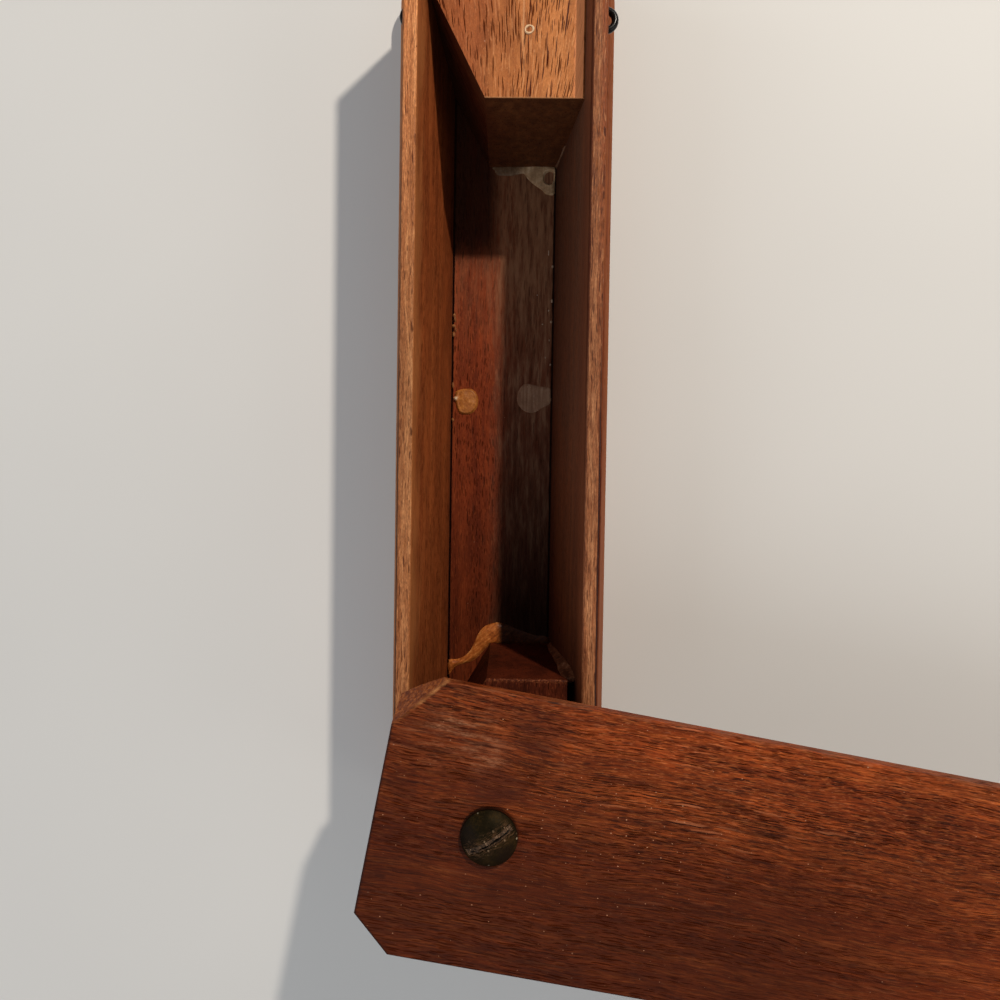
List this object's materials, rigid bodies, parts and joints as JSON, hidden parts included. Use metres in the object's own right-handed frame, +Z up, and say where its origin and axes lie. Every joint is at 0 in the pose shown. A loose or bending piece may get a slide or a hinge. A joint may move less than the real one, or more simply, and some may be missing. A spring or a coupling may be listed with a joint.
{
  "type": "box turkey call",
  "caption": "Wooden box call: an open trough of thin leaning sounding walls on a base board, with a paddle lid that swings and tilts on a sprung screw to scrape the lips.",
  "frame": {"origin": "centre of the base board's bottom face", "axes": "+Z up, +Y along the box towards its front end (away from the pivot), +X to the right, the side that the lid is swung out to at rest"},
  "size_m": [0.2963, 0.2737, 0.0706],
  "materials": {
    "base_wood": "oiled reddish brown hardwood",
    "wall_wood": "oiled reddish brown hardwood, lips sanded bare",
    "front_block_wood": "lighter open-pored hardwood",
    "pivot_block_wood": "dark reddish brown hardwood",
    "lid_wood": "dark reddish brown open-pored hardwood, satin oil",
    "screw_metal": "dark oxidised brass",
    "spring_steel": "bright spring wire",
    "washer_brass": "dull brass",
    "eye_black": "glossy black",
    "amber_glue": "dried amber glue",
    "pale_glue": "dried whitish glue"
  },
  "bodies": {
    "box": {"base_board": "base_wood", "left_side_wall": "wall_wood", "right_side_wall": "wall_wood", "front_end_block": "front_block_wood", "pivot_end_block": "pivot_block_wood", "pivot_screw": "screw_metal", "pivot_spring": "spring_steel", "left_screw_eye": "eye_black", "right_screw_eye": "eye_black", "left_glue_dab": "amber_glue", "right_glue_dab": "pale_glue", "pivot_block_glue_bead": "amber_glue", "front_block_glue_patch": "pale_glue"},
    "swivel": {"spring_washer": "washer_brass"},
    "lid": {"paddle_lid": "lid_wood"}
  },
  "joints": [
    {"name": "lid_swing", "type": "hinge", "parent": "box", "child": "swivel", "pos_m": [-0.0004, -0.0959, 0.0493], "axis": [0, 0, 1], "continuous": true},
    {"name": "lid_tilt", "type": "hinge", "parent": "swivel", "child": "lid", "pos_m": [-0.0004, -0.0959, 0.0586], "axis": [-0.1633, -0.9866, 0], "range_deg": [0, 3]}
  ]
}
